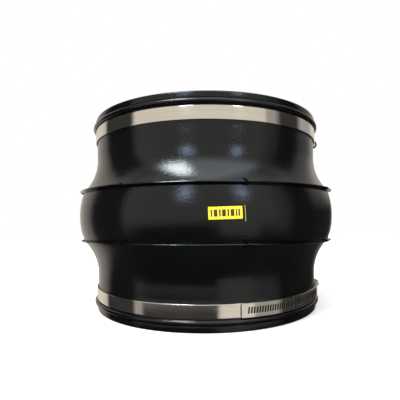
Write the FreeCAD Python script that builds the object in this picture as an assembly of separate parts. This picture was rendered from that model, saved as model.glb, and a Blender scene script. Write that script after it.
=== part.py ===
import FreeCAD, Part

import math
import os

# Clamp-type rubber expansion joint, single arch, for pipe of 273 mm outside diameter.
# Millimetres, +Z up along the pipe axis, origin at the centre of the lower end face.
# The rubber is laid up in four layers, and each layer is cut where the body flexes:
# two stiff cuffs, two shoulders that bend, and the crown that squashes and stretches.

# Body. The crown's middle plane lies a little nearer to the lower end, and the arcs and fins
# are measured up and down from it.
HEIGHT = 243.0
MIDDLE = 119.0
PIPE_R = 136.5
NECK_R = 148.3
CROWN_R = 170.5
CROWN_ARC = 93.0
SHOULDER_ARC = 62.0
FIN_HEIGHT = 31.3

# Layers, as distances in from the outer surface
COVER_DEPTH = 4.0
OUTER_PLY_DEPTH = 5.4
INNER_PLY_DEPTH = 6.8
LINER_DEPTH = NECK_R - PIPE_R
PLY_INSET = 5.0

# Mould flash fins at the joint between crown and shoulders
FIN_THICK = 1.2
FIN_TIP_R = 170.1
FIN_ROOT_R = 163.0

# Cuff ends, measured from the end face
END_RING_R = 150.0
END_RING_TOP = 7.0
END_EDGE = 1.5
GROOVE_R = 149.5
BEAD_FOOT = 7.6
BEAD_TOP = 13.4
BEAD_FLANK_R = 150.5
SEAT_R = 149.1
SEAT_TOP = 30.4
SEAT_BLEND = 3.0
BORE_EDGE = 1.5

# Where the layers are cut: in from each end face, and above and below the middle plane
CUFF_LENGTH = 42.0
CROWN_CUT = FIN_HEIGHT - FIN_THICK / 2 - 0.1

# Clamp band, about its own middle
BAND_CENTRE = 21.8
BAND_WIDTH = 14.3
BAND_R = 149.2
BAND_THICK = 0.8
SADDLE_THICK = 0.8
SADDLE_LENGTH = 16.6
TAIL_GAP = 0.05
SLOT_PITCH = 3.175
SLOT_LENGTH = 7.0
SLOT_WIDTH = 1.8
SLOTS_TO_TIP = 63
SLOTS_TO_ENTRY = 4
TIP_MARGIN = 7.9
ENTRY_MARGIN = 3.0
TIP_CORNER = 1.5

# Worm screw and its housing
WORM_R = 4.4
WORM_CORE_R = 3.4
WORM_DIP = 0.55
WORM_TURNS = 4
CREST_WIDTH = 0.6
ROOT_WIDTH = 1.3
NECK_JOURNAL_R = 2.9
JOURNAL_CLEARANCE = 0.05
HEX_ACROSS = 7.0
HEX_START = 9.4
HEX_LENGTH = 5.5
HEX_SLOT_WIDTH = 1.2
HEX_SLOT_DEPTH = 1.6
SCREW_END = 9.0
HOUSING_LENGTH = 16.6
HOUSING_WALL = 0.9
HOUSING_BARREL_GAP = 0.2
SKIRT_GAP = 0.1
SKIRT_WALL = 0.7
TAIL_HEADROOM = 0.25

# Clamp positions, as angles about +Z from the +X axis
LOWER_CLAMP_ANGLE = 2.1
UPPER_CLAMP_ANGLE = 3.0

# Material label on the crown
LABEL_ANGLE = -83.8
LABEL_LENGTH = 32.7
LABEL_WIDTH = 12.0
LABEL_THICK = 0.25
LABEL_GAP = 0.02
LABEL_RISE = 1.0
LABEL_TILT = 1.5

# Worked-out sizes
CROWN_CENTRE_R = CROWN_R - CROWN_ARC
FIN_R = CROWN_CENTRE_R + math.sqrt(CROWN_ARC ** 2 - FIN_HEIGHT ** 2)
SHOULDER_CENTRE_R = NECK_R + SHOULDER_ARC
SHOULDER_RISE = math.sqrt(SHOULDER_ARC ** 2 - (SHOULDER_CENTRE_R - FIN_R) ** 2)
NECK_START = FIN_HEIGHT + SHOULDER_RISE
BAND_OUTER_R = BAND_R + BAND_THICK
SADDLE_R = BAND_OUTER_R + SADDLE_THICK
TAIL_R = SADDLE_R + TAIL_GAP
TAIL_OUTER_R = TAIL_R + BAND_THICK
TAIL_MID_R = TAIL_R + BAND_THICK / 2
SLOT_STEP = math.degrees(SLOT_PITCH / TAIL_MID_R)
WORM_AXIS_R = TAIL_OUTER_R - WORM_DIP + WORM_R
SLOT_LEAN = math.degrees(math.atan(SLOT_PITCH / (2 * math.pi * (WORM_R - WORM_DIP))))

V = FreeCAD.Vector
ORIGIN = V(0, 0, 0)
Z_AXIS = V(0, 0, 1)


def section_point(radius, height):
    """A point of a turned profile, in the XZ plane."""
    return V(radius, 0, height)


def polyline(points):
    """Straight edges through the points."""
    return [Part.LineSegment(a, b).toShape() for a, b in zip(points, points[1:])]


def turned(edges):
    """The solid swept by a closed profile about the pipe axis."""
    face = Part.Face(Part.Wire(Part.__sortEdges__(edges)))
    return face.revolve(ORIGIN, Z_AXIS, 360)


def between_heights(shape, low, high):
    """The part of a shape between two heights above the lower end face."""
    slab = Part.makeCylinder(2 * CROWN_R, high - low, V(0, 0, low))
    return shape.common(slab)


def mirrored(shape):
    """The same shape turned upside down, from one end of the joint to the other."""
    return shape.mirror(V(0, 0, HEIGHT / 2), Z_AXIS)


def arc_midpoint(centre, start, end, radius):
    """The middle of the shorter arc between two points."""
    chord_middle = (start + end) * 0.5
    outward = chord_middle - centre
    return centre + outward * (radius / outward.Length)


def kink(depth):
    """Where the crown and shoulder arcs of one depth meet, as (radius, rise from the middle)."""
    crown_arc = CROWN_ARC - depth
    shoulder_arc = SHOULDER_ARC + depth
    across = SHOULDER_CENTRE_R - CROWN_CENTRE_R
    gap = math.hypot(across, NECK_START)
    along = (gap ** 2 + crown_arc ** 2 - shoulder_arc ** 2) / (2 * gap)
    aside = math.sqrt(crown_arc ** 2 - along ** 2)
    radius = CROWN_CENTRE_R + (along * across + aside * NECK_START) / gap
    rise = (along * NECK_START - aside * across) / gap
    return radius, rise


def wall_line(depth):
    """Edges of the wall at one depth, from one end of the cord plies to the other."""
    crown_centre = section_point(CROWN_CENTRE_R, MIDDLE)
    kink_r, kink_rise = kink(depth)
    neck = NECK_R - depth
    edges = []
    for side, end_height in ((-1, PLY_INSET), (1, HEIGHT - PLY_INSET)):
        shoulder_centre = section_point(SHOULDER_CENTRE_R, MIDDLE + side * NECK_START)
        end = section_point(neck, end_height)
        start = section_point(neck, MIDDLE + side * NECK_START)
        top = section_point(kink_r, MIDDLE + side * kink_rise)
        middle = arc_midpoint(shoulder_centre, start, top, SHOULDER_ARC + depth)
        edges.append(Part.LineSegment(end, start).toShape())
        edges.append(Part.Arc(start, middle, top).toShape())
    lower = section_point(kink_r, MIDDLE - kink_rise)
    upper = section_point(kink_r, MIDDLE + kink_rise)
    crest = arc_midpoint(crown_centre, lower, upper, CROWN_ARC - depth)
    edges.append(Part.Arc(lower, crest, upper).toShape())
    return edges


def layer(outer_depth, inner_depth):
    """One whole layer of the wall, end to end."""
    edges = wall_line(outer_depth) + wall_line(inner_depth)
    for height in (PLY_INSET, HEIGHT - PLY_INSET):
        outer = section_point(NECK_R - outer_depth, height)
        inner = section_point(NECK_R - inner_depth, height)
        edges.append(Part.LineSegment(outer, inner).toShape())
    return turned(edges)


def fin(side):
    """A thin ring of mould flash, thinner at its tip."""
    height = MIDDLE + side * FIN_HEIGHT
    half = FIN_THICK / 2
    points = [
        section_point(FIN_ROOT_R, height - half),
        section_point(FIN_TIP_R, height - half / 2),
        section_point(FIN_TIP_R, height + half / 2),
        section_point(FIN_ROOT_R, height + half),
    ]
    return turned(polyline(points + points[:1]))


def cuff_cover():
    """The lower cuff's cover: end ring, groove, bead, band seat and neck."""
    inner = NECK_R - COVER_DEPTH
    liner = NECK_R - INNER_PLY_DEPTH
    bead_middle = (BEAD_FOOT + BEAD_TOP) / 2
    bead_half = (BEAD_TOP - BEAD_FOOT) / 2
    foot = section_point(END_RING_R - END_EDGE, 0)
    end_corner = section_point(END_RING_R - END_EDGE, END_EDGE)
    rounding = arc_midpoint(
        end_corner,
        foot,
        section_point(END_RING_R, END_EDGE),
        END_EDGE,
    )
    edges = polyline([section_point(liner, 0), foot])
    edges.append(Part.Arc(foot, rounding, section_point(END_RING_R, END_EDGE)).toShape())
    edges += polyline([
        section_point(END_RING_R, END_EDGE),
        section_point(END_RING_R, END_RING_TOP - 1),
        section_point(GROOVE_R, END_RING_TOP),
        section_point(GROOVE_R, BEAD_FOOT),
        section_point(BEAD_FLANK_R, BEAD_FOOT),
    ])
    bead = Part.Arc(
        section_point(BEAD_FLANK_R, BEAD_FOOT),
        section_point(BEAD_FLANK_R + bead_half, bead_middle),
        section_point(BEAD_FLANK_R, BEAD_TOP),
    )
    edges.append(bead.toShape())
    edges += polyline([
        section_point(BEAD_FLANK_R, BEAD_TOP),
        section_point(SEAT_R, BEAD_TOP),
        section_point(SEAT_R, SEAT_TOP),
        section_point(NECK_R, SEAT_TOP + SEAT_BLEND),
        section_point(NECK_R, CUFF_LENGTH),
        section_point(inner, CUFF_LENGTH),
        section_point(inner, PLY_INSET),
        section_point(liner, PLY_INSET),
        section_point(liner, 0),
    ])
    return turned(edges)


def cuff_liner():
    """The lower cuff's liner: the bore, with its entry edge taken off."""
    outer = NECK_R - INNER_PLY_DEPTH
    points = [
        section_point(outer, 0),
        section_point(outer, CUFF_LENGTH),
        section_point(PIPE_R, CUFF_LENGTH),
        section_point(PIPE_R, BORE_EDGE),
        section_point(PIPE_R + BORE_EDGE, 0),
    ]
    return turned(polyline(points + points[:1]))


def save_body_layers(name, outer_depth, inner_depth, lower_cuff, fins):
    """Cut one layer into its five sections and save each as its own node."""
    whole = layer(outer_depth, inner_depth)
    crown = between_heights(whole, MIDDLE - CROWN_CUT, MIDDLE + CROWN_CUT)
    lower_shoulder = between_heights(whole, CUFF_LENGTH, MIDDLE - CROWN_CUT)
    upper_shoulder = between_heights(whole, MIDDLE + CROWN_CUT, HEIGHT - CUFF_LENGTH)
    if fins:
        lower_shoulder = lower_shoulder.fuse(fin(-1)).removeSplitter()
        upper_shoulder = upper_shoulder.fuse(fin(1)).removeSplitter()
    if lower_cuff is None:
        lower_cuff = between_heights(whole, PLY_INSET, CUFF_LENGTH)
    save("lower_cuff_" + name, lower_cuff)
    save("lower_shoulder_" + name, lower_shoulder)
    save("crown_" + name, crown)
    save("upper_shoulder_" + name, upper_shoulder)
    save("upper_cuff_" + name, mirrored(lower_cuff))


def label():
    """A thin label that follows the crown, a little below its middle."""
    gap_arc = CROWN_ARC + LABEL_GAP
    face_arc = gap_arc + LABEL_THICK
    rise = LABEL_WIDTH
    centre = section_point(CROWN_CENTRE_R, MIDDLE)
    ends = []
    edges = []
    for arc in (gap_arc, face_arc):
        reach = math.sqrt(arc ** 2 - rise ** 2)
        low = section_point(CROWN_CENTRE_R + reach, MIDDLE - rise)
        high = section_point(CROWN_CENTRE_R + reach, MIDDLE + rise)
        edges.append(Part.Arc(low, arc_midpoint(centre, low, high, arc), high).toShape())
        ends.append((low, high))
    for inner, outer in zip(ends[0], ends[1]):
        edges.append(Part.LineSegment(inner, outer).toShape())
    shell = turned(edges)
    corner = V(0, -LABEL_LENGTH / 2, -LABEL_WIDTH / 2)
    block = Part.makeBox(2 * CROWN_R, LABEL_LENGTH, LABEL_WIDTH, corner)
    block.rotate(ORIGIN, V(1, 0, 0), LABEL_TILT)
    block.translate(V(0, 0, MIDDLE + LABEL_RISE))
    block.rotate(ORIGIN, Z_AXIS, LABEL_ANGLE)
    return shell.common(block)


def hoop(inner_r, thick, width):
    """A closed band about the pipe axis, centred on z = 0."""
    low = V(0, 0, -width / 2)
    outer = Part.makeCylinder(inner_r + thick, width, low)
    return outer.cut(Part.makeCylinder(inner_r, width, low))


def band_arc(inner_r, thick, width, first_angle, last_angle):
    """A stretch of band between two angles about the pipe axis."""
    points = [
        V(inner_r, 0, -width / 2),
        V(inner_r + thick, 0, -width / 2),
        V(inner_r + thick, 0, width / 2),
        V(inner_r, 0, width / 2),
    ]
    profile = Part.Face(Part.makePolygon(points + points[:1]))
    arc = profile.revolve(ORIGIN, Z_AXIS, last_angle - first_angle)
    arc.rotate(ORIGIN, Z_AXIS, first_angle)
    return arc


def slot_cutter():
    """One through slot in the tail, leaning as the worm's thread does."""
    half = SLOT_WIDTH / 2
    straight = SLOT_LENGTH - SLOT_WIDTH
    start = TAIL_R - 0.5
    depth = BAND_THICK + 1.0
    slot = Part.makeBox(depth, SLOT_WIDTH, straight, V(start, -half, -straight / 2))
    for end in (-1, 1):
        rounding = Part.makeCylinder(half, depth, V(start, 0, end * straight / 2), V(1, 0, 0))
        slot = slot.fuse(rounding)
    slot.rotate(ORIGIN, V(1, 0, 0), -SLOT_LEAN)
    return slot


def tip_cutter(side):
    """What is taken off one corner of the tail's free end."""
    edge = side * BAND_WIDTH / 2
    depth = BAND_THICK + 1.0
    start = TAIL_R - 0.5
    inset = edge - side * TIP_CORNER
    block = Part.makeBox(depth, 2 * TIP_CORNER, TIP_CORNER, V(start, -TIP_CORNER, min(edge, inset)))
    round_part = Part.makeCylinder(TIP_CORNER, depth, V(start, TIP_CORNER, inset), V(1, 0, 0))
    return block.cut(round_part)


def clamp_tail():
    """The slotted free end of the band, from the housing's entry side to its tip."""
    tip_angle = -SLOTS_TO_TIP * SLOT_STEP - math.degrees(TIP_MARGIN / TAIL_MID_R)
    entry_angle = SLOTS_TO_ENTRY * SLOT_STEP + math.degrees(ENTRY_MARGIN / TAIL_MID_R)
    tail = band_arc(TAIL_R, BAND_THICK, BAND_WIDTH, tip_angle, entry_angle)
    cutters = []
    for count in range(-SLOTS_TO_TIP, SLOTS_TO_ENTRY + 1):
        cutter = slot_cutter()
        cutter.rotate(ORIGIN, Z_AXIS, count * SLOT_STEP)
        cutters.append(cutter)
    for side in (-1, 1):
        cutter = tip_cutter(side)
        cutter.rotate(ORIGIN, Z_AXIS, tip_angle)
        cutters.append(cutter)
    return tail.cut(Part.makeCompound(cutters))


def saddle():
    """The curved plate between the band and its tail, under the worm."""
    half_angle = math.degrees(SADDLE_LENGTH / 2 / BAND_OUTER_R)
    width = BAND_WIDTH + 2 * SKIRT_GAP
    return band_arc(BAND_OUTER_R, SADDLE_THICK, width, -half_angle, half_angle)


def barrel(radius, length):
    """A cylinder on the worm's axis, centred on the housing."""
    return Part.makeCylinder(radius, length, V(WORM_AXIS_R, -length / 2, 0), V(0, 1, 0))


def housing():
    """Pressed cover over the worm: a barrel, flat shoulders and two skirts."""
    inner_half = BAND_WIDTH / 2 + SKIRT_GAP
    outer_half = inner_half + SKIRT_WALL
    ceiling = TAIL_OUTER_R + TAIL_HEADROOM
    inner_r = WORM_R + HOUSING_BARREL_GAP
    start = V(BAND_OUTER_R, -HOUSING_LENGTH / 2, -outer_half)
    base_height = ceiling + HOUSING_WALL - BAND_OUTER_R
    base = Part.makeBox(base_height, HOUSING_LENGTH, 2 * outer_half, start)
    passage_start = V(BAND_OUTER_R - 1, -HOUSING_LENGTH / 2, -inner_half)
    passage = Part.makeBox(ceiling - BAND_OUTER_R + 1, HOUSING_LENGTH, 2 * inner_half, passage_start)
    shell = base.fuse(barrel(inner_r + HOUSING_WALL, HOUSING_LENGTH))
    cavity = barrel(inner_r, HOUSING_LENGTH - 2 * HOUSING_WALL)
    journal = barrel(NECK_JOURNAL_R + JOURNAL_CLEARANCE, HOUSING_LENGTH)
    return shell.cut([passage, cavity, journal]).removeSplitter()


def thread():
    """The worm's right-hand thread, along Z and centred on z = 0."""
    length = WORM_TURNS * SLOT_PITCH
    root = WORM_CORE_R - 0.2
    points = [
        V(root, 0, -ROOT_WIDTH / 2),
        V(WORM_R, 0, -CREST_WIDTH / 2),
        V(WORM_R, 0, CREST_WIDTH / 2),
        V(root, 0, ROOT_WIDTH / 2),
    ]
    profile = Part.makePolygon(points + points[:1])
    spine = Part.makeHelix(SLOT_PITCH, length, WORM_R)
    ridge = Part.Wire(spine).makePipeShell([profile], True, True)
    ridge.translate(V(0, 0, -length / 2))
    return ridge


def screw():
    """Worm screw along Z, head down: thread, journals and a slotted hexagon head."""
    half = WORM_TURNS * SLOT_PITCH / 2 + ROOT_WIDTH / 2
    core = Part.makeCylinder(WORM_CORE_R, 2 * half - 1, V(0, 0, 0.5 - half))
    journals = Part.makeCylinder(NECK_JOURNAL_R, HEX_START + SCREW_END, V(0, 0, -HEX_START))
    corner_r = HEX_ACROSS / math.sqrt(3)
    corners = [
        V(corner_r * math.cos(math.radians(angle)), corner_r * math.sin(math.radians(angle)), -HEX_START)
        for angle in range(0, 361, 60)
    ]
    head = Part.Face(Part.makePolygon(corners)).extrude(V(0, 0, -HEX_LENGTH))
    chamfer_r = corner_r - 0.25
    rounder = Part.makeCone(chamfer_r, chamfer_r + HEX_LENGTH, HEX_LENGTH, V(0, 0, -HEX_START - HEX_LENGTH))
    head = head.common(rounder)
    driver = Part.makeBox(
        HEX_SLOT_WIDTH,
        2 * HEX_ACROSS,
        HEX_SLOT_DEPTH,
        V(-HEX_SLOT_WIDTH / 2, -HEX_ACROSS, -HEX_START - HEX_LENGTH),
    )
    body = core.fuse([journals, head.cut(driver), thread()])
    return body.removeSplitter()


def screw_in_housing():
    """The screw laid along the tangent, its head on the tail's side."""
    shape = screw()
    shape.rotate(ORIGIN, V(1, 0, 0), -90)
    shape.rotate(ORIGIN, V(0, 1, 0), 180)
    shape.translate(V(WORM_AXIS_R, 0, 0))
    return shape


def save_clamp(name, parts, angle, height, flipped):
    """Place one worm-drive clamp on its cuff and save its pieces."""
    for piece, shape in parts.items():
        placed = shape.copy()
        if flipped:
            placed.rotate(ORIGIN, V(1, 0, 0), 180)
        placed.rotate(ORIGIN, Z_AXIS, angle)
        placed.translate(V(0, 0, height))
        save(name + "_" + piece, placed)


def save(node, shape):
    """Write one node as its own STEP file."""
    solids = shape.Solids
    if len(solids) == 1:
        shape = solids[0]
    print(node, len(solids), "solid", shape.isValid(), round(shape.Volume, 1))
    shape.exportStep("parts/" + node + ".step")


def main():
    os.makedirs("parts", exist_ok=True)
    save_body_layers("cover", 0.0, COVER_DEPTH, cuff_cover(), True)
    save_body_layers("outer_ply", COVER_DEPTH, OUTER_PLY_DEPTH, None, False)
    save_body_layers("inner_ply", OUTER_PLY_DEPTH, INNER_PLY_DEPTH, None, False)
    save_body_layers("liner", INNER_PLY_DEPTH, LINER_DEPTH, cuff_liner(), False)
    save("material_label", label())
    clamp = {
        "band": hoop(BAND_R, BAND_THICK, BAND_WIDTH),
        "band_tail": clamp_tail(),
        "clamp_saddle": saddle(),
        "clamp_housing": housing(),
        "clamp_screw": screw_in_housing(),
    }
    save_clamp("lower", clamp, LOWER_CLAMP_ANGLE, BAND_CENTRE, False)
    save_clamp("upper", clamp, UPPER_CLAMP_ANGLE, HEIGHT - BAND_CENTRE, True)


main()
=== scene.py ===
import math

import bmesh
import bpy
import numpy as np
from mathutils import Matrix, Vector


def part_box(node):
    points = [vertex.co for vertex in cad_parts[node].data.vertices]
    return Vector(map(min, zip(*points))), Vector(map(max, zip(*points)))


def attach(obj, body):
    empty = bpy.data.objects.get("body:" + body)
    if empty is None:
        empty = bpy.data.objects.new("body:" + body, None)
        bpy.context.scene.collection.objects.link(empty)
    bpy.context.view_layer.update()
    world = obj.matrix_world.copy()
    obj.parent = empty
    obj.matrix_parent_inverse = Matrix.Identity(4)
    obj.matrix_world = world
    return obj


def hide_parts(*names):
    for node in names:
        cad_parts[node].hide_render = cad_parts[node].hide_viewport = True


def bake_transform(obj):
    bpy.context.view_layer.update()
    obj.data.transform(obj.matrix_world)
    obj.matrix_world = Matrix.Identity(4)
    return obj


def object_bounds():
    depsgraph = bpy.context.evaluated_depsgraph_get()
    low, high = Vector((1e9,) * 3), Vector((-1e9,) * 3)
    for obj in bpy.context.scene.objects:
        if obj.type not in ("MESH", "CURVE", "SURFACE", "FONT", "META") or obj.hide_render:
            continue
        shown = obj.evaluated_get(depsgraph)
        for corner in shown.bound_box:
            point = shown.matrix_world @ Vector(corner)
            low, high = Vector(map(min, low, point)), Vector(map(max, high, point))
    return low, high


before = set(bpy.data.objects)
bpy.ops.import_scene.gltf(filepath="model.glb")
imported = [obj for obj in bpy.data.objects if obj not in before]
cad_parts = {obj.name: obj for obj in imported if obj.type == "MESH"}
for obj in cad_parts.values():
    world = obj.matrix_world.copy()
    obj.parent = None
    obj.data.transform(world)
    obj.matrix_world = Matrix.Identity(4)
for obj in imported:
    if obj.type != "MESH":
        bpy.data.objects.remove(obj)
cad_low, cad_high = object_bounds()

# Metres. The sizes that the CAD nodes' boxes give are read from the frame; the arcs are the design's own.
MM = 0.001
HEIGHT = cad_high.z
CROWN_LOW, CROWN_HIGH = (corner.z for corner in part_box("crown_cover"))
MIDDLE = (CROWN_LOW + CROWN_HIGH) / 2
CROWN_R = 170.5 * MM
CROWN_ARC = 93 * MM
SHOULDER_ARC = 62 * MM
NECK_R = 148.3 * MM
FIN_PAST_CUT = 0.7 * MM
FIN_RISE = (CROWN_HIGH - CROWN_LOW) / 2 + FIN_PAST_CUT
CROWN_CENTRE = CROWN_R - CROWN_ARC
FIN_R = CROWN_CENTRE + math.sqrt(CROWN_ARC**2 - FIN_RISE**2)
SHOULDER_CENTRE = NECK_R + SHOULDER_ARC
NECK_RISE = FIN_RISE + math.sqrt(SHOULDER_ARC**2 - (SHOULDER_CENTRE - FIN_R) ** 2)
FIN_TIP_R = 170.2 * MM

# The lower fin's flash rises this far at the front left, fades out to both sides, and is flat elsewhere
FIN_LIFT = 2.6 * MM
FIN_LIFT_TURN = math.radians(-14)
FIN_LIFT_HALF = math.radians(20)
FIN_LIFT_FADE = math.radians(38)

# The mould's segments meet every 45 degrees, and a nib of flash crosses each fin there
SPLIT_TURN = math.radians(13.4)
SPLITS = 8

CROWN_CUT = MIDDLE - CROWN_LOW
COVER_DEPTH = 4 * MM
OUTER_PLY_DEPTH = 5.4 * MM
INNER_PLY_DEPTH = 6.8 * MM
BORE_R = 136.5 * MM
LINER_DEPTH = NECK_R - BORE_R
PLY_INSET = 5 * MM

# A cuff's outside, by radius and height above its end face
END_RING_R = 150 * MM
RIM_ROUND = 1.8 * MM
BEAD_R = 150.1 * MM
BEAD_HEIGHT = 10.5 * MM
BEAD_ROUND = 2.85 * MM
SEAT_R = 148.8 * MM
SEAT_LOW = 15 * MM
SEAT_HIGH = 28 * MM
NECK_LOW = 32 * MM

BAND_LOW, BAND_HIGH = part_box("lower_band")
BAND_CENTRE = (BAND_LOW.z + BAND_HIGH.z) / 2
BAND_HALF = (BAND_HIGH.z - BAND_LOW.z) / 2
BAND_OUTER = BAND_HIGH.x
BAND_THICK = 0.8 * MM
SADDLE_THICK = 0.8 * MM
TAIL_GAP = 0.05 * MM
TAIL_INNER = BAND_OUTER + SADDLE_THICK + TAIL_GAP
TAIL_OUTER = TAIL_INNER + BAND_THICK
TAIL_MID = (TAIL_INNER + TAIL_OUTER) / 2
SLOT_PITCH = 3.175 * MM
SLOTS_TO_TIP = 63
SLOT_LENGTH = 7.0 * MM
SLOT_WIDTH = 1.8 * MM
TIP_MARGIN = 7.9 * MM
TIP_CORNER = 1.5 * MM
SLOTS_TO_ENTRY = 4
TIP_PLAIN = 2.2 * MM
ENTRY_PLAIN = 1.4 * MM
SLOT_WALL_AREA = 3e-6
WORM_MID_R = 3.85 * MM
SLOT_LEAN = math.atan(SLOT_PITCH / (2 * math.pi * WORM_MID_R))

LOWER_CLAMP_TURN = math.radians(2.1)
UPPER_CLAMP_TURN = math.radians(3.0)

# The tape label and its lifted end, by turn from the front and rise above the middle
LABEL_TURN = math.radians(6.2)
LABEL_RISE = 1.0 * MM
LABEL_LENGTH = 32.7 * MM
LABEL_WIDTH = 12 * MM
LABEL_TILT = math.radians(1.5)
LABEL_PROUD = 0.22 * MM
EDGE_TURN = math.radians(12.62)
EDGE_RISE = 0.6 * MM
EDGE_LENGTH = 0.75 * MM
EDGE_WIDTH = 15.6 * MM
EDGE_TILT = math.radians(2.6)
EDGE_PROUD = 0.24 * MM
TAPE_SUNK = -0.05 * MM

# Columns of a turned piece, evenly round
AROUND = 384


def smooth_noise(x, y, seed):
    """A repeatable smooth wave between -1 and 1, periodic in x over a full turn."""
    total = np.zeros(np.broadcast(x, y).shape)
    waves = np.random.default_rng(seed)
    for count in (2, 3, 5, 8, 13):
        phase = waves.uniform(0, 2 * math.pi)
        slope = waves.uniform(-1.5, 1.5)
        total = total + np.sin(count * x + phase + slope * y) / count**0.5
    return total / 2.6


# ---------------------------------------------------------------- outlines


def wall_radius(rise, depth):
    """The wall's radius at a height above or below the middle, at a depth in from the outside."""
    rise = abs(rise)
    if rise > NECK_RISE:
        return NECK_R - depth
    radius = CROWN_R
    shoulder = (SHOULDER_ARC + depth) ** 2 - (NECK_RISE - rise) ** 2
    if shoulder > 0:
        radius = SHOULDER_CENTRE - math.sqrt(shoulder)
    if rise < 1.4 * FIN_RISE:
        radius = min(radius, CROWN_CENTRE + math.sqrt((CROWN_ARC - depth) ** 2 - rise**2))
    return radius


def wall_points(low, high, depth, step, middle):
    """Outline points of the wall between two heights above an end face."""
    count = max(2, round((high - low) / step) + 1)
    heights = np.linspace(low, high, count)
    return [(wall_radius(z - middle, depth), z) for z in heights]


def arc(centre_r, centre_z, radius, first, last, count):
    """Outline points on an arc, by angles in degrees from the outward direction."""
    angles = np.radians(np.linspace(first, last, count))
    return [(centre_r + radius * math.cos(a), centre_z + radius * math.sin(a)) for a in angles]


def cuff_outside():
    """A cuff's outside from the end face's rim up to the neck."""
    points = arc(END_RING_R - RIM_ROUND, RIM_ROUND, RIM_ROUND, -90, 0, 7)
    points += arc(149.0 * MM, 6.2 * MM, 1.0 * MM, 0, 50, 4)
    points += [(149.52 * MM, 7.15 * MM), (149.62 * MM, 7.45 * MM)]
    points += arc(BEAD_R, BEAD_HEIGHT, BEAD_ROUND, -100, 80, 19)
    points += arc(149.8 * MM, 13.9 * MM, 0.8 * MM, 270, 200, 4)
    points += [(SEAT_R, SEAT_LOW), (SEAT_R, SEAT_HIGH), (148.45 * MM, 28.8 * MM), (NECK_R, 30 * MM)]
    return points


def fin_outside(middle, lit_below):
    """A thin flash fin just outside the crown's cut, its tip slanted to one side."""
    centre = middle - FIN_RISE
    root = wall_radius(FIN_RISE + 1.5 * MM, 0)
    below, above = (0.38, 0.03) if lit_below else (0.03, 0.38)
    return [
        (root + 0.35 * MM, centre - 1.0 * MM),
        (FIN_R + 0.7 * MM, centre - 0.52 * MM),
        (FIN_TIP_R - below * MM, centre - 0.33 * MM),
        (FIN_TIP_R - above * MM, centre + 0.33 * MM),
        (FIN_R + 0.7 * MM, centre + 0.52 * MM),
    ]


def cover_end_outline(middle, lit_below=False):
    """Cover from an end face to the crown's cut, outside and back down inside."""
    top = middle - CROWN_CUT
    outside = [(NECK_R - INNER_PLY_DEPTH, 0.0), (145 * MM, 0.0)] + cuff_outside()
    outside += wall_points(NECK_LOW, middle - FIN_RISE - 1.6 * MM, 0, 1.6 * MM, middle)
    outside += fin_outside(middle, lit_below)
    outside.append((wall_radius(CROWN_CUT, 0), top))
    inside = wall_points(PLY_INSET, top, COVER_DEPTH, 4 * MM, middle)[::-1]
    return outside + inside + [(NECK_R - INNER_PLY_DEPTH, PLY_INSET)]


def liner_end_outline(middle, lit_below=False):
    """Liner from an end face to the crown's cut, with a rounded entry to the bore."""
    top = middle - CROWN_CUT
    outside = [(NECK_R - INNER_PLY_DEPTH, 0.0)]
    outside += wall_points(3 * MM, top, INNER_PLY_DEPTH, 4 * MM, middle)
    inside = wall_points(4 * MM, top, LINER_DEPTH, 2 * MM, middle)[::-1]
    entry = arc(BORE_R + 1.5 * MM, 1.5 * MM, 1.5 * MM, 180, 270, 6)
    return outside + inside + entry


def ply_end_outline(outer, inner):
    """A cord ply from its sealed end to the crown's cut."""

    def outline(middle, lit_below=False):
        top = middle - CROWN_CUT
        outside = wall_points(PLY_INSET, top, outer, 4 * MM, middle)
        return outside + wall_points(PLY_INSET, top, inner, 4 * MM, middle)[::-1]

    return outline


def crown_outline(outer, inner, step):
    """One layer of the crown between its two cuts."""
    outside = wall_points(CROWN_LOW, CROWN_HIGH, outer, step, MIDDLE)
    return outside + wall_points(CROWN_LOW, CROWN_HIGH, inner, 2 * step, MIDDLE)[::-1]


# ---------------------------------------------------------------- mesh helpers


def new_object(name, verts, faces, smooth_angle=40):
    """A mesh object with smooth shading that keeps edges sharper than an angle."""
    mesh = bpy.data.meshes.new(name)
    mesh.from_pydata([tuple(v) for v in verts], [], faces)
    mesh.validate()
    fix_normals(mesh)
    mesh.shade_smooth()
    mesh.set_sharp_from_angle(angle=math.radians(smooth_angle))
    obj = bpy.data.objects.new(name, mesh)
    bpy.context.scene.collection.objects.link(obj)
    return obj


def fix_normals(mesh):
    """Turn every face of a closed mesh outwards."""
    work = bmesh.new()
    work.from_mesh(mesh)
    bmesh.ops.recalc_face_normals(work, faces=work.faces)
    work.to_mesh(mesh)
    work.free()


def columns_round():
    """Angles of the columns of a turned piece: even, with finer ones where the mould splits."""
    even = np.linspace(0, 2 * math.pi, AROUND, endpoint=False)
    fine = []
    for k in range(SPLITS):
        centre = SPLIT_TURN + k * 2 * math.pi / SPLITS
        fine += [(centre + math.radians(d)) % (2 * math.pi) for d in (-0.6, -0.3, -0.1, 0.1, 0.3, 0.6)]
    merged = np.sort(np.concatenate([even, fine]))
    gap = np.diff(np.append(merged, merged[0] + 2 * math.pi))
    return merged[gap > 1e-4]


def lathe(name, outline, shape=None, smooth_angle=40):
    """A closed outline of (radius, height) turned about Z, with an optional uneven shape."""
    radius = np.array([p[0] for p in outline])[None, :]
    height = np.array([p[1] for p in outline])[None, :]
    turn = columns_round()[:, None]
    around = len(turn)
    if shape is not None:
        radius, height = shape(turn, radius, height)
    radius, height, turn = np.broadcast_arrays(radius, height, turn)
    verts = np.stack([radius * np.sin(turn), -radius * np.cos(turn), height], axis=-1).reshape(-1, 3)
    count = len(outline)
    faces = []
    for column in range(around):
        here, there = column * count, (column + 1) % around * count
        for row in range(count):
            after = (row + 1) % count
            faces.append((here + row, there + row, there + after, here + after))
    return new_object(name, verts, faces, smooth_angle)


def flipped(outline):
    """An outline turned upside down about the middle of the joint."""
    return [(r, HEIGHT - z) for r, z in outline]


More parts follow.
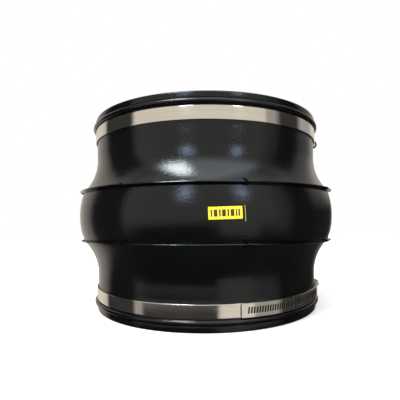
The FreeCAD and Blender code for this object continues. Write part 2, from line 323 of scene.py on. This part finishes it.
def remember_rest(obj):
    """Keep each point's place at rest, so that a pattern stays on the rubber when it bends."""
    points = np.empty(len(obj.data.vertices) * 3, np.float32)
    obj.data.vertices.foreach_get("co", points)
    attribute = obj.data.attributes.new("rest_place", "FLOAT_VECTOR", "POINT")
    attribute.data.foreach_set("vector", points)


def assign(obj, material):
    """Give the object one material."""
    obj.data.materials.clear()
    obj.data.materials.append(material)


# ---------------------------------------------------------------- uneven rubber


def segment_step(turn, side, size):
    """A small step of one mould segment against the next, a different one for each segment."""
    steps = np.random.default_rng(71 + side).uniform(-1, 1, SPLITS) * size
    place = ((turn - SPLIT_TURN) % (2 * math.pi)) / (2 * math.pi) * SPLITS
    return steps[np.floor(place).astype(int) % SPLITS]


def fin_lift(turn, side):
    """How far the lower fin stands above its plane: it rises at the front left."""
    away = np.abs((turn - FIN_LIFT_TURN + math.pi) % (2 * math.pi) - math.pi)
    share = np.clip((away - FIN_LIFT_HALF) / FIN_LIFT_FADE, 0, 1)
    return (1 - share**2 * (3 - 2 * share)) * (FIN_LIFT if side < 0 else 0)


def uneven_body(turn, radius, height):
    """Slight hollows and waves in moulded rubber, and ragged fins that step at the mould's splits."""
    rise = np.abs(height - MIDDLE)
    surface = np.vectorize(wall_radius)(rise, 0.0)
    proud = np.clip((radius - surface) / (FIN_TIP_R - FIN_R), 0, 1)
    end_distance = np.minimum(height, HEIGHT - height)
    outside = (radius > surface - 1.5 * MM) & (end_distance > 31 * MM)
    fin = (np.abs(rise - FIN_RISE) < 1.2 * MM) & (proud > 0.05)
    hollow = (1 + smooth_noise(turn, height / (9 * MM), 11)) * 0.14 * MM
    ripple = (1 + smooth_noise(turn, height / (2.3 * MM), 19)) * 0.02 * MM
    radius = radius - np.where(outside, hollow + ripple, 0) * (1 - proud)
    upper = height > MIDDLE
    for side, here in ((1, fin & upper), (-1, fin & ~upper)):
        ragged = (1 + smooth_noise(3 * turn, side * 2, 23)) * 0.30 * MM
        sway = smooth_noise(turn, side * 4, 37) * 0.30 * MM + segment_step(turn, side, 0.28 * MM)
        radius = radius - np.where(here, ragged, 0) * proud
        height = height + np.where(here, sway * proud**0.5 + fin_lift(turn, side), 0)
    rim = (end_distance < 13.6 * MM) & (radius > 144 * MM) & (end_distance > 0.5 * MM)
    radius = radius - np.where(rim, (1 + smooth_noise(2 * turn, height * 900, 5)) * 0.15 * MM, 0)
    return radius, height


# ---------------------------------------------------------------- materials


class Graph:
    """A short way to build a node tree."""

    def __init__(self, tree):
        self.tree = tree

    def link(self, value, socket):
        """Feed a socket from another socket, or set its value."""
        if isinstance(value, bpy.types.NodeSocket):
            self.tree.links.new(value, socket)
        else:
            socket.default_value = value

    def add(self, kind, inputs=None, **settings):
        node = self.tree.nodes.new(kind)
        for key, value in settings.items():
            setattr(node, key, value)
        for key, value in (inputs or {}).items():
            self.link(value, node.inputs[key])
        return node

    def noise(self, place, scale, detail=3.0, rough=0.5, stretch=None):
        if stretch is not None:
            place = self.add("ShaderNodeMapping", {"Vector": place, "Scale": stretch}).outputs["Vector"]
        inputs = {"Vector": place, "Scale": scale, "Detail": detail, "Roughness": rough}
        return self.add("ShaderNodeTexNoise", inputs).outputs["Fac"]

    def ramp(self, value, low, high, out_low=0.0, out_high=1.0):
        inputs = {"Value": value, 1: low, 2: high, 3: out_low, 4: out_high}
        return self.add("ShaderNodeMapRange", inputs, clamp=True).outputs["Result"]

    def math(self, operation, a, b=0.0):
        return self.add("ShaderNodeMath", {0: a, 1: b}, operation=operation).outputs[0]

    def mix(self, factor, a, b):
        return self.add("ShaderNodeMix", {0: factor, 6: a, 7: b}, data_type="RGBA").outputs[2]

    def bump(self, height, distance, strength=1.0, normal=None):
        inputs = {"Height": height, "Distance": distance, "Strength": strength}
        if normal is not None:
            inputs["Normal"] = normal
        return self.add("ShaderNodeBump", inputs).outputs["Normal"]


class Nodes(Graph):
    """A material's node tree, with its main shader."""

    def __init__(self, name):
        self.material = bpy.data.materials.new(name)
        self.material.use_nodes = True
        super().__init__(self.material.node_tree)
        self.shader = self.tree.nodes["Principled BSDF"]

    def set(self, **values):
        for key, value in values.items():
            self.link(value, self.shader.inputs[key.replace("_", " ")])

    def place(self, attribute):
        """Coordinates that stay with the surface: the rest place, or the object's own."""
        if attribute:
            return self.add("ShaderNodeAttribute", attribute_name="rest_place").outputs["Vector"]
        return self.add("ShaderNodeTexCoord").outputs["Object"]


def moulded_rubber(name, dark, pale, rough_low, rough_high, shine=0.46):
    """Black moulded rubber: soft sheen, fine grain, faint rings from the mould, and scuffs."""
    n = Nodes(name)
    place = n.place(True)
    cloudy = n.noise(place, 14.0, 4.0, 0.55)
    grain = n.noise(place, 1400.0, 2.0, 0.6)
    peel = n.noise(place, 120.0, 2.0, 0.5)
    dimples = n.noise(place, 1.0, 3.0, 0.6, stretch=(300.0, 300.0, 620.0))
    rings = n.noise(place, 1.0, 3.0, 0.6, stretch=(9.0, 9.0, 420.0))
    scuffs = n.ramp(n.noise(place, 60.0, 8.0, 0.75), 0.62, 0.78)
    colour = n.mix(n.ramp(cloudy, 0.3, 0.75), dark, pale)
    colour = n.mix(n.math("MULTIPLY", scuffs, 0.2), colour, (0.05, 0.05, 0.05, 1))
    rough = n.ramp(cloudy, 0.3, 0.7, rough_low, rough_high)
    rough = n.math("ADD", rough, n.math("MULTIPLY", scuffs, 0.08))
    rough = n.math("ADD", rough, n.ramp(rings, 0.35, 0.65, -0.02, 0.03))
    normal = n.bump(rings, 0.00004, 0.5)
    normal = n.bump(peel, 0.00012, 0.45, normal)
    normal = n.bump(dimples, 0.00028, 0.6, normal)
    normal = n.bump(grain, 0.000012, 0.5, normal)
    n.set(Base_Color=colour, Roughness=rough, Normal=normal)
    n.set(Specular_IOR_Level=shine, Specular_Tint=(0.86, 0.96, 1.0, 1))
    return n.material


def cord_fabric(name):
    """Rubbered nylon cord: pale parallel cords with rubber between them."""
    n = Nodes(name)
    place = n.place(True)
    inputs = {"Vector": place, "Scale": 260.0, "Distortion": 0.4, "Detail": 2.0}
    cords = n.add("ShaderNodeTexWave", inputs, bands_direction="DIAGONAL").outputs["Fac"]
    speckle = n.noise(place, 500.0)
    colour = n.mix(cords, (0.10, 0.09, 0.075, 1), (0.62, 0.57, 0.47, 1))
    colour = n.mix(n.ramp(speckle, 0.4, 0.7, 0.0, 0.3), colour, (0.25, 0.22, 0.18, 1))
    n.set(Base_Color=colour, Roughness=0.85, Normal=n.bump(cords, 0.0003))
    return n.material


def rolled_steel(name, tint, rough_low, rough_high):
    """Bright rolled stainless strip: fine lines along it, faint stains, and painted shade in its narrow
    gaps.
    """
    n = Nodes(name)
    place = n.place(False)
    lines = n.noise(place, 1.0, 4.0, 0.7, stretch=(9.0, 9.0, 5200.0))
    cloudy = n.noise(place, 22.0, 3.0, 0.5)
    streaks = n.noise(place, 1.0, 4.0, 0.65, stretch=(4.0, 4.0, 950.0))
    waves = n.noise(place, 1.0, 2.0, 0.4, stretch=(45.0, 45.0, 12.0))
    fingerprints = n.ramp(n.noise(place, 130.0, 5.0, 0.7), 0.55, 0.72)
    stain = tuple(0.86 * c for c in tint[:3]) + (1,)
    colour = n.mix(n.ramp(cloudy, 0.35, 0.7), tint, stain)
    colour = n.mix(n.ramp(streaks, 0.35, 0.7, 0.0, 0.22), colour, (0.45, 0.42, 0.38, 1))
    # Painted shade: ambient occlusion turns the colour near black in narrow gaps, such as the hoop seen
    # through the tail's slots
    crevice_shade = n.add("ShaderNodeAmbientOcclusion", {"Distance": 2.5 * MM}, samples=8).outputs["AO"]
    colour = n.mix(n.ramp(crevice_shade, 0.45, 0.85, 1.0, 0.0), colour, (0.02, 0.018, 0.015, 1))
    rough = n.ramp(lines, 0.3, 0.7, rough_low, rough_high)
    rough = n.math("ADD", rough, n.math("MULTIPLY", fingerprints, 0.05))
    normal = n.bump(waves, 0.00012, 0.5)
    normal = n.bump(streaks, 0.000012, 0.5, normal)
    normal = n.bump(lines, 0.000004, 0.5, normal)
    n.set(Base_Color=colour, Metallic=1.0, Roughness=rough, Normal=normal)
    return n.material


def pressed_steel(name, tint, rough, shaded_ends=False):
    """Pressed or turned steel: satin, finely scratched, and, if asked, near black on the walls across the
    band as painted shade.
    """
    n = Nodes(name)
    place = n.place(False)
    scratches = n.noise(place, 900.0, 6.0, 0.75)
    cloudy = n.noise(place, 90.0, 3.0, 0.5)
    shade = tuple(0.75 * c for c in tint[:3]) + (1,)
    colour = n.mix(n.ramp(cloudy, 0.35, 0.7), tint, shade)
    if shaded_ends:
        # Painted shade: faces that face along Y, such as the housing's end walls, go near black as if they
        # were a shaded hollow
        own_normal = n.add("ShaderNodeTexCoord").outputs["Normal"]
        across = n.math("ABSOLUTE", n.add("ShaderNodeSeparateXYZ", {"Vector": own_normal}).outputs["Y"])
        colour = n.mix(n.ramp(across, 0.8, 0.95, 0.0, 0.93), colour, (0.02, 0.019, 0.018, 1))
    roughness = n.ramp(scratches, 0.3, 0.7, rough - 0.06, rough + 0.08)
    n.set(Base_Color=colour, Metallic=1.0, Roughness=roughness, Normal=n.bump(scratches, 0.00002, 0.5))
    return n.material


def label_print(name):
    """Yellow tape with a row of plain dark bars, placed by the label's own UV map in metres."""
    n = Nodes(name)
    uv = n.add("ShaderNodeUVMap", uv_map="label").outputs["UV"]
    parts = n.add("ShaderNodeSeparateXYZ", {"Vector": uv})
    along, up = parts.outputs["X"], parts.outputs["Y"]
    bars = None
    for start, width in LABEL_BARS:
        left = n.ramp(along, (start - 0.12) * MM, (start + 0.12) * MM)
        right = n.ramp(along, (start + width - 0.12) * MM, (start + width + 0.12) * MM, 1.0, 0.0)
        bar = n.math("MULTIPLY", left, right)
        bars = bar if bars is None else n.math("MAXIMUM", bars, bar)
    low = n.ramp(up, -3.4 * MM, -3.15 * MM)
    high = n.ramp(up, 3.15 * MM, 3.4 * MM, 1.0, 0.0)
    ink = n.math("MULTIPLY", bars, n.math("MULTIPLY", low, high))
    wear = n.noise(uv, 700.0, 4.0, 0.7)
    ink = n.math("MULTIPLY", ink, n.ramp(wear, 0.25, 0.4, 0.75, 1.0))
    paper = n.mix(n.ramp(wear, 0.3, 0.8), (0.86, 0.72, 0.022, 1), (0.72, 0.58, 0.02, 1))
    colour = n.mix(ink, paper, (0.035, 0.03, 0.02, 1))
    n.set(Base_Color=colour, Roughness=0.42, Normal=n.bump(wear, 0.00002, 0.5))
    return n.material


def darker_tape(name):
    """The same tape in a darker, dull yellow, for the thin strip where its end has lifted off the rubber.
    """
    n = Nodes(name)
    wear = n.noise(n.place(False), 900.0, 4.0, 0.7)
    colour = n.mix(n.ramp(wear, 0.3, 0.7), (0.42, 0.38, 0.04, 1), (0.26, 0.24, 0.04, 1))
    n.set(Base_Color=colour, Roughness=0.5, Normal=n.bump(wear, 0.00002, 0.5))
    return n.material


# Bars on the label as (start, width) in millimetres from its left edge
LABEL_BARS = [
    (2.3, 1.5), (5.2, 3.4), (10.2, 1.5), (13.0, 3.5), (18.1, 1.5), (21.2, 3.4), (26.2, 1.4), (28.6, 1.7),
]

COVER = moulded_rubber("cover_rubber", (0.0012, 0.0013, 0.0014, 1), (0.0032, 0.0033, 0.0034, 1), 0.08, 0.15)
TORN_FLASH = moulded_rubber("torn_flash", (0.003, 0.003, 0.003, 1), (0.006, 0.006, 0.006, 1), 0.5, 0.6, 0.2)
LINER = moulded_rubber("liner_rubber", (0.010, 0.010, 0.010, 1), (0.020, 0.020, 0.020, 1), 0.40, 0.55)
CORD = cord_fabric("cord_fabric")
BAND_STEEL = rolled_steel("stainless_band", (0.86, 0.83, 0.79, 1), 0.05, 0.10)
# The housing's end walls carry painted shade
HOUSING_STEEL = pressed_steel("stainless_housing", (0.72, 0.70, 0.66, 1), 0.30, shaded_ends=True)
# A darker yellow for the lifted end of the tape
LIFTED_EDGE = darker_tape("lifted_tape_edge")
# Painted shade: near-black steel for the walls of the tail's slots
SLOT_SHADE = pressed_steel("shaded_slot_wall", (0.035, 0.032, 0.03, 1), 0.5)
SCREW_STEEL = pressed_steel("steel_screw", (0.62, 0.60, 0.56, 1), 0.34)
LABEL = label_print("label_tape")


# ---------------------------------------------------------------- rubber body

SPAN_SECTIONS = {
    "lower": ("lower_cuff", "lower_shoulder"),
    "crown": ("crown",),
    "upper": ("upper_shoulder", "upper_cuff"),
}


def flex(obj):
    """Keep a piece's rest places for its patterns, and bake its placing into its mesh."""
    remember_rest(obj)
    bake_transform(obj)


def rubber_layer(layer, end_outline, middle_outline, material, shape=None):
    """One layer of the wall as three pieces: lower end, crown and upper end."""
    upper = flipped(end_outline(HEIGHT - MIDDLE, lit_below=True))
    outlines = {"lower": end_outline(MIDDLE), "crown": middle_outline, "upper": upper}
    for span, outline in outlines.items():
        obj = lathe(f"{span}_{layer}", outline, shape)
        assign(obj, material)
        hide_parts(*[f"{section}_{layer}" for section in SPAN_SECTIONS[span]])
        flex(obj)


def build_rubber():
    cover_crown = crown_outline(0, COVER_DEPTH, 1.5 * MM)
    rubber_layer("cover", cover_end_outline, cover_crown, COVER, uneven_body)
    for layer, outer, inner in (
        ("outer_ply", COVER_DEPTH, OUTER_PLY_DEPTH),
        ("inner_ply", OUTER_PLY_DEPTH, INNER_PLY_DEPTH),
    ):
        ends = ply_end_outline(outer, inner)
        rubber_layer(layer, ends, crown_outline(outer, inner, 4 * MM), CORD)
    liner_crown = crown_outline(INNER_PLY_DEPTH, LINER_DEPTH, 2 * MM)
    rubber_layer("liner", liner_end_outline, liner_crown, LINER)


def blade(origin, along, outward, length, height, thick):
    """A low tapered ridge of flash: verts and faces of a pointed wedge on the surface."""
    side = along.cross(outward).normalized()
    foot = origin - outward * (0.6 * MM)
    ends, sides = along * length / 2, side * thick / 2
    verts = [foot - ends, foot + sides, foot + ends, foot - sides]
    crest = origin + outward * height
    verts += [crest - along * length * 0.28, crest + along * length * 0.16 + outward * 0.1 * MM]
    faces = [(0, 3, 2, 1), (0, 1, 4), (0, 4, 3), (1, 2, 5), (1, 5, 4), (3, 5, 2), (3, 4, 5)]
    return verts, faces


def split_nib(name, turn, height, size, proud, seed):
    """Two crossed ridges of flash where two mould segments meet at a fin."""
    chance = np.random.default_rng(seed)
    outward = Vector((math.sin(turn), -math.cos(turn), 0))
    around = Vector((math.cos(turn), math.sin(turn), 0))
    surface = FIN_R + 0.4 * MM
    verts, faces = [], []
    for lean in (40, -38):
        angle = math.radians(lean + chance.uniform(-8, 8))
        along = around * math.cos(angle) + Vector((0, 0, math.sin(angle)))
        shift = around * chance.uniform(-0.4, 0.4) * MM
        origin = outward * surface + Vector((0, 0, height)) + shift
        length = size * chance.uniform(0.85, 1.1)
        points, sides = blade(origin, along, outward, length, proud, 1.7 * MM)
        faces += [tuple(i + len(verts) for i in side) for side in sides]
        verts += points
    obj = new_object(name, verts, faces, 30)
    assign(obj, TORN_FLASH)
    flex(obj)


def build_nibs():
    """A nib of flash at each split of both fins, the front one the largest."""
    for side, span in ((-1, "lower"), (1, "upper")):
        for k in range(SPLITS):
            size, proud = (10.5 * MM, 5.0 * MM) if k == 0 else (6.5 * MM, 3.8 * MM)
            turn = SPLIT_TURN + k * 2 * math.pi / SPLITS
            height = MIDDLE + side * FIN_RISE + float(fin_lift(turn, side))
            split_nib(f"{span}_flash_nib_{k + 1}", turn, height, size, proud, 100 + k * side)


# ---------------------------------------------------------------- clamp bands


def hoop_outline():
    """Section of the band with rounded, slightly thickened edges."""
    inner, outer = BAND_OUTER - BAND_THICK, BAND_OUTER
    low, high = -BAND_HALF, BAND_HALF
    round_r = 0.3 * MM
    points = [(inner, low + round_r), (inner + 0.15 * MM, low)]
    points += arc(outer - round_r, low + round_r, round_r, -90, 0, 5)
    points += [(outer, low + 0.9 * MM), (outer, -2 * MM), (outer, 2 * MM), (outer, high - 0.9 * MM)]
    points += arc(outer - round_r, high - round_r, round_r, 0, 90, 5)
    points += [(inner + 0.15 * MM, high), (inner, high - round_r)]
    return points


def band_wave(turn, radius, height):
    """The strip isn't perfectly flat: slow waves, all inwards of the true size."""
    wave = (1 + smooth_noise(2 * turn, height / (12 * MM), 41)) * 0.02 * MM
    return radius - wave, height


def slot_outline(half_height, half_width, rounding):
    """Points round one slot, anticlockwise from its lower right, before it leans."""
    points = [(half_width, z) for z in np.linspace(-half_height + half_width, half_height - half_width, 4)]
    top = half_height - half_width
    for angle in np.radians(np.linspace(0, 180, rounding + 2)[1:-1]):
        points.append((half_width * math.cos(angle), top + half_width * math.sin(angle)))
    points += [(-s, -z) for s, z in points]
    return points


def cell_outline(half_pitch, half_width, rounding):
    """Points round one slot's cell, one for each point of the slot's outline."""
    side = np.linspace(-half_width, half_width, 4)
    points = [(half_pitch, z) for z in side]
    for share in np.linspace(1, -1, rounding + 2)[1:-1]:
        points.append((half_pitch * share, half_width))
    points += [(-s, -z) for s, z in points]
    return points


def lay_on_cylinder(s, z, radius):
    """A point of the flat strip laid round the pipe axis, s along it from the housing."""
    angle = s / TAIL_MID
    return (radius * math.cos(angle), radius * math.sin(angle), z)


def strip_shell(outer_faces, name):
    """Thicken flat faces of (s, z) points into a strip laid on the cuff."""
    index, points = {}, []

    def key_of(point):
        key = (round(point[0] * 1e6), round(point[1] * 1e6))
        if key not in index:
            index[key] = len(points)
            points.append(point)
        return index[key]

    faces = [[key_of(p) for p in face] for face in outer_faces]
    count = len(points)
    verts = [lay_on_cylinder(s, z, TAIL_OUTER) for s, z in points]
    verts += [lay_on_cylinder(s, z, TAIL_INNER) for s, z in points]
    edges = {}
    for face in faces:
        for a, b in zip(face, face[1:] + face[:1]):
            edges[(a, b)] = edges.get((a, b), 0) + 1
    walls = [(b, a, a + count, b + count) for a, b in edges if (b, a) not in edges]
    inner = [[i + count for i in reversed(face)] for face in faces]
    return new_object(name, verts, [tuple(f) for f in faces + inner + walls], 50)


def tail_faces():
    """Flat faces of the tail: a cell round each slot, a rounded tip and a plain entry end."""
    half_pitch = SLOT_PITCH / 2
    rounding = 6
    slot = slot_outline(SLOT_LENGTH / 2, SLOT_WIDTH / 2, rounding)
    cell = cell_outline(half_pitch, BAND_HALF, rounding)
    lean = math.tan(SLOT_LEAN)
    faces = []
    for number in range(-SLOTS_TO_TIP, SLOTS_TO_ENTRY + 1):
        middle = number * SLOT_PITCH
        ring = [(middle + s + z * lean, z) for s, z in slot]
        rim = [(middle + s, z) for s, z in cell]
        for i in range(len(ring)):
            j = (i + 1) % len(ring)
            faces.append([ring[i], rim[i], rim[j], ring[j]])
    left = -SLOTS_TO_TIP * SLOT_PITCH - half_pitch
    right = SLOTS_TO_ENTRY * SLOT_PITCH + half_pitch
    rows = np.linspace(-BAND_HALF, BAND_HALF, 4)
    corner = TIP_CORNER
    tip = left + half_pitch - TIP_MARGIN
    near, far = left - TIP_PLAIN, tip + corner
    end = right + ENTRY_PLAIN
    for low, high in zip(rows, rows[1:]):
        faces.append([(left, low), (left, high), (near, high), (near, low)][::-1])
        faces.append([(near, low), (near, high), (far, high), (far, low)][::-1])
        faces.append([(right, low), (right, high), (end, high), (end, low)])
    rounded = [(tip + corner, -BAND_HALF)]
    inner_half = BAND_HALF - corner
    for angle in np.radians(np.linspace(-90, -180, 7)[1:]):
        rounded.append((tip + corner + corner * math.cos(angle), -inner_half + corner * math.sin(angle)))
    for angle in np.radians(np.linspace(180, 90, 7)[:-1]):
        rounded.append((tip + corner + corner * math.cos(angle), inner_half + corner * math.sin(angle)))
    rounded += [(tip + corner, row) for row in rows[::-1]]
    faces.append(rounded[:-1])
    return faces


def radial_normals(obj):
    """Exact normals on the strip's two broad faces, so that reflections run smoothly along it."""
    normals = []
    for vertex in obj.data.vertices:
        radius = math.hypot(vertex.co.x, vertex.co.y)
        outward = Vector((vertex.co.x, vertex.co.y, 0)).normalized()
        if radius > TAIL_OUTER - 0.02 * MM:
            normals.append(outward)
        elif radius < TAIL_INNER + 0.02 * MM:
            normals.append(-outward)
        else:
            normals.append(vertex.normal.copy())
    obj.data.normals_split_custom_set_from_vertices(normals)


def bevel_edges(obj, width, segments, angle):
    """Take off the sharp edges for good, in the mesh itself."""
    work = bmesh.new()
    work.from_mesh(obj.data)
    sharp = [e for e in work.edges if len(e.link_faces) == 2 and e.calc_face_angle() > math.radians(angle)]
    bmesh.ops.bevel(
        work, geom=sharp, offset=width, segments=segments, profile=0.5, affect="EDGES", clamp_overlap=True
    )
    work.to_mesh(obj.data)
    work.free()
    obj.data.shade_smooth()


def shade_slots(tail):
    """Painted shade: a near-black steel on the walls of the slots, which stands in for the shade inside
    them.
    """
    tail.data.materials.append(SLOT_SHADE)
    for face in tail.data.polygons:
        radial = Vector((face.center.x, face.center.y, 0)).normalized()
        small = face.area < SLOT_WALL_AREA and abs(face.center.z) < SLOT_LENGTH / 2
        if small and abs(face.normal.dot(radial)) < 0.6:
            face.material_index = 1


def clamp_place(obj, side):
    """Move a piece made for a clamp at angle 0 and height 0 to its cuff."""
    if side == "upper":
        obj.rotation_euler = (math.pi, 0, UPPER_CLAMP_TURN)
        obj.location = (0, 0, HEIGHT - BAND_CENTRE)
    else:
        obj.rotation_euler = (0, 0, LOWER_CLAMP_TURN)
        obj.location = (0, 0, BAND_CENTRE)
    bpy.context.view_layer.update()


def build_clamp(side):
    """One clamp: band, tail, saddle, housing and screw."""
    band = lathe(f"{side}_band_hoop", hoop_outline(), band_wave)
    tail = strip_shell(tail_faces(), f"{side}_band_free_end")
    bevel_edges(tail, 0.1 * MM, 2, 50)
    radial_normals(tail)
    for obj, node, body in ((band, "band", "clamp"), (tail, "band_tail", "tail")):
        assign(obj, BAND_STEEL)
        clamp_place(obj, side)
        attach(obj, f"{side}_{body}")
        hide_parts(f"{side}_{node}")
    # Painted shade on the walls of the slots
    shade_slots(tail)
    for node, material in (
        ("clamp_saddle", BAND_STEEL),
        ("clamp_housing", HOUSING_STEEL),
        ("clamp_screw", SCREW_STEEL),
    ):
        assign(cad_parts[f"{side}_{node}"], material)


# ---------------------------------------------------------------- label


def crown_patch(name, centre_turn, centre_rise, length, width, tilt, proud):
    """A thin sheet of tape that follows the crown, with its print's map in metres."""
    columns, rows = 41, 9
    verts, uvs = [], []
    for gap in (proud, TAPE_SUNK):
        for i in range(columns):
            for j in range(rows):
                s = (i / (columns - 1) - 0.5) * length
                t = (j / (rows - 1) - 0.5) * width
                rise = centre_rise + t * math.cos(tilt) + s * math.sin(tilt)
                along = s * math.cos(tilt) - t * math.sin(tilt)
                radius = wall_radius(rise, 0) + gap
                turn = centre_turn + along / CROWN_R
                verts.append((radius * math.sin(turn), -radius * math.cos(turn), MIDDLE + rise))
                uvs.append((s + length / 2, t))
    sheet = columns * rows

    def at(i, j, layer):
        return layer * sheet + i * rows + j

    faces = []
    for i in range(columns - 1):
        for j in range(rows - 1):
            faces.append((at(i, j, 0), at(i + 1, j, 0), at(i + 1, j + 1, 0), at(i, j + 1, 0)))
            faces.append((at(i, j, 1), at(i, j + 1, 1), at(i + 1, j + 1, 1), at(i + 1, j, 1)))
    for i in range(columns - 1):
        for j in (0, rows - 1):
            faces.append((at(i, j, 0), at(i + 1, j, 0), at(i + 1, j, 1), at(i, j, 1)))
    for j in range(rows - 1):
        for i in (0, columns - 1):
            faces.append((at(i, j, 0), at(i, j + 1, 0), at(i, j + 1, 1), at(i, j, 1)))
    obj = new_object(name, verts, faces, 50)
    layer = obj.data.uv_layers.new(name="label")
    for loop in obj.data.loops:
        layer.data[loop.index].uv = uvs[loop.vertex_index]
    return obj


def build_label():
    """The tape label, with its right end lifting a little."""
    obj = crown_patch(
        "material_tape_label", LABEL_TURN, LABEL_RISE, LABEL_LENGTH, LABEL_WIDTH, LABEL_TILT, LABEL_PROUD
    )
    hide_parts("material_label")
    edge = crown_patch(
        "material_tape_lifted_edge", EDGE_TURN, EDGE_RISE, EDGE_LENGTH, EDGE_WIDTH, EDGE_TILT, EDGE_PROUD
    )
    assign(obj, LABEL)
    assign(edge, LIFTED_EDGE)
    for tape in (obj, edge):
        flex(tape)


# ---------------------------------------------------------------- stage, lights and camera

FLOOR_R = 2.4
FLOOR_DROP = 0.2 * MM
SURROUND_R = 2.6
CAMERA_BACK = 0.480
CAMERA_HEIGHT = 0.1128
CAMERA_ROLL = 0.5


def emitter(name, colour, strength):
    material = bpy.data.materials.new(name)
    material.use_nodes = True
    tree = material.node_tree
    tree.nodes.clear()
    light = tree.nodes.new("ShaderNodeEmission")
    light.inputs["Color"].default_value = colour
    light.inputs["Strength"].default_value = strength
    out = tree.nodes.new("ShaderNodeOutputMaterial")
    tree.links.new(light.outputs[0], out.inputs[0])
    return material


def build_stage():
    """A pale floor that glows by its own emission, more strongly towards its edge, and so fades into a
    plain white surround.
    """
    below = (0, 0, -FLOOR_DROP)
    bpy.ops.mesh.primitive_circle_add(vertices=96, radius=FLOOR_R, fill_type="NGON", location=below)
    floor = bpy.context.object
    floor.name = "studio_floor"
    n = Nodes("pale_floor")
    place = n.place(False)
    distance = n.add("ShaderNodeVectorMath", {0: place}, operation="LENGTH").outputs["Value"]
    fade = n.ramp(distance, 0.45, 1.3)
    n.set(Base_Color=(0.92, 0.92, 0.92, 1), Roughness=0.9, Emission_Color=(1, 1, 1, 1))
    # Painted light: the floor glows by its own emission, from 0.35 near the middle to full at its edge
    n.set(Emission_Strength=n.ramp(distance, 0.2, 1.3, 0.35, 1.0))
    n.set(Specular_IOR_Level=n.math("SUBTRACT", 0.2, n.math("MULTIPLY", fade, 0.2)))
    assign(floor, n.material)
    floor.visible_glossy = False
    bpy.ops.mesh.primitive_uv_sphere_add(segments=48, ring_count=24, radius=SURROUND_R)
    dome = bpy.context.object
    dome.name = "studio_surround"
    assign(dome, emitter("white_surround", (1, 1, 1, 1), 1.0))
    dome.visible_glossy = False
    dome.visible_diffuse = False
    dome.visible_shadow = False
    dome.visible_transmission = False


def build_world():
    """A plain soft studio: pale panels, dark flags between them, two strip boxes and a key light."""
    world = bpy.data.worlds.new("studio")
    world.use_nodes = True
    bpy.context.scene.world = world
    g = Graph(world.node_tree)
    direction = g.add("ShaderNodeTexCoord").outputs["Generated"]
    split = g.add("ShaderNodeSeparateXYZ", {"Vector": direction}).outputs
    front = g.math("MULTIPLY", split["Y"], -1.0)
    azimuth = g.math("DEGREES", g.math("ARCTAN2", split["X"], front))
    elevation = g.math("DEGREES", g.math("ARCSINE", split["Z"]))
    colour = g.mix(g.ramp(elevation, -26, -14), STUDIO_FLOOR, STUDIO_WALL)
    colour = g.mix(g.ramp(elevation, 42, 50), colour, STUDIO_CEILING)
    for left, right, low, high, soft, tone in STUDIO:
        past_left = g.ramp(azimuth, left - soft, left + soft)
        before_right = g.ramp(azimuth, right - soft, right + soft, 1.0, 0.0)
        above_low = g.ramp(elevation, low - soft, low + soft)
        below_high = g.ramp(elevation, high - soft, high + soft, 1.0, 0.0)
        across = g.math("MULTIPLY", past_left, before_right)
        up = g.math("MULTIPLY", above_low, below_high)
        colour = g.mix(g.math("MULTIPLY", across, up), colour, tone)
    g.link(colour, world.node_tree.nodes["Background"].inputs["Color"])


# A plain studio: neutral tones, then soft panels, flags and boxes, each given by its
# azimuth from the front, its elevation and its soft edge, in degrees
STUDIO_FLOOR = (0.045, 0.045, 0.045, 1)
STUDIO_WALL = (0.40, 0.38, 0.35, 1)
STUDIO_CEILING = (0.95, 0.95, 0.95, 1)
PALE_PANEL = (0.76, 0.70, 0.61, 1)
DARK_FLAG = (0.040, 0.038, 0.036, 1)
CEILING_SHADE = (0.45, 0.45, 0.45, 1)
CEILING_BOX = (2.6, 2.6, 2.6, 1)
STRIP_BOX = (5.0, 5.6, 7.2, 1)
KEY_BOX = (24.0, 24.0, 24.0, 1)
STUDIO = [
    (-190, -118, -30, 45, 8, PALE_PANEL),
    (-115, -74, -60, 42, 2, DARK_FLAG),
    (-72, 60, -9, 44, 2, PALE_PANEL),
    (-64, 11, -60, -13, 2, DARK_FLAG),
    (12, 46, -26, -9, 2, PALE_PANEL),
    (74, 105, -30, 40, 4, DARK_FLAG),
    (90, 148, -40, 9, 6, DARK_FLAG),
    (132, 190, 10, 27, 6, PALE_PANEL),
    (-190, -64, 44, 60, 6, CEILING_SHADE),
    (66, 118, 44, 60, 6, CEILING_SHADE),
    (-64, 66, 46, 100, 5, CEILING_BOX),
    (-24, -13, 22, 37, 2, STRIP_BOX),
    (28, 36, 22, 37, 2, STRIP_BOX),
    (-56, -25, 50, 72, 4, KEY_BOX),
]


def build_camera():
    """Level and close, the middle of the joint a little above the view's centre."""
    data = bpy.data.cameras.new("camera")
    camera = bpy.data.objects.new("camera", data)
    bpy.context.scene.collection.objects.link(camera)
    camera.location = (0, -CAMERA_BACK, CAMERA_HEIGHT)
    camera.rotation_euler = (math.radians(90), math.radians(CAMERA_ROLL), 0)
    data.sensor_width = 36.0
    data.lens = 29.86
    data.shift_x = -0.0150
    data.shift_y = 0.0515
    data.clip_start = 0.02
    bpy.context.scene.camera = camera


build_rubber()
build_nibs()
for clamp_side in ("lower", "upper"):
    build_clamp(clamp_side)
build_label()
build_stage()
build_world()
build_camera()
bpy.context.scene.view_settings.view_transform = "Standard"

bpy.context.view_layer.update()
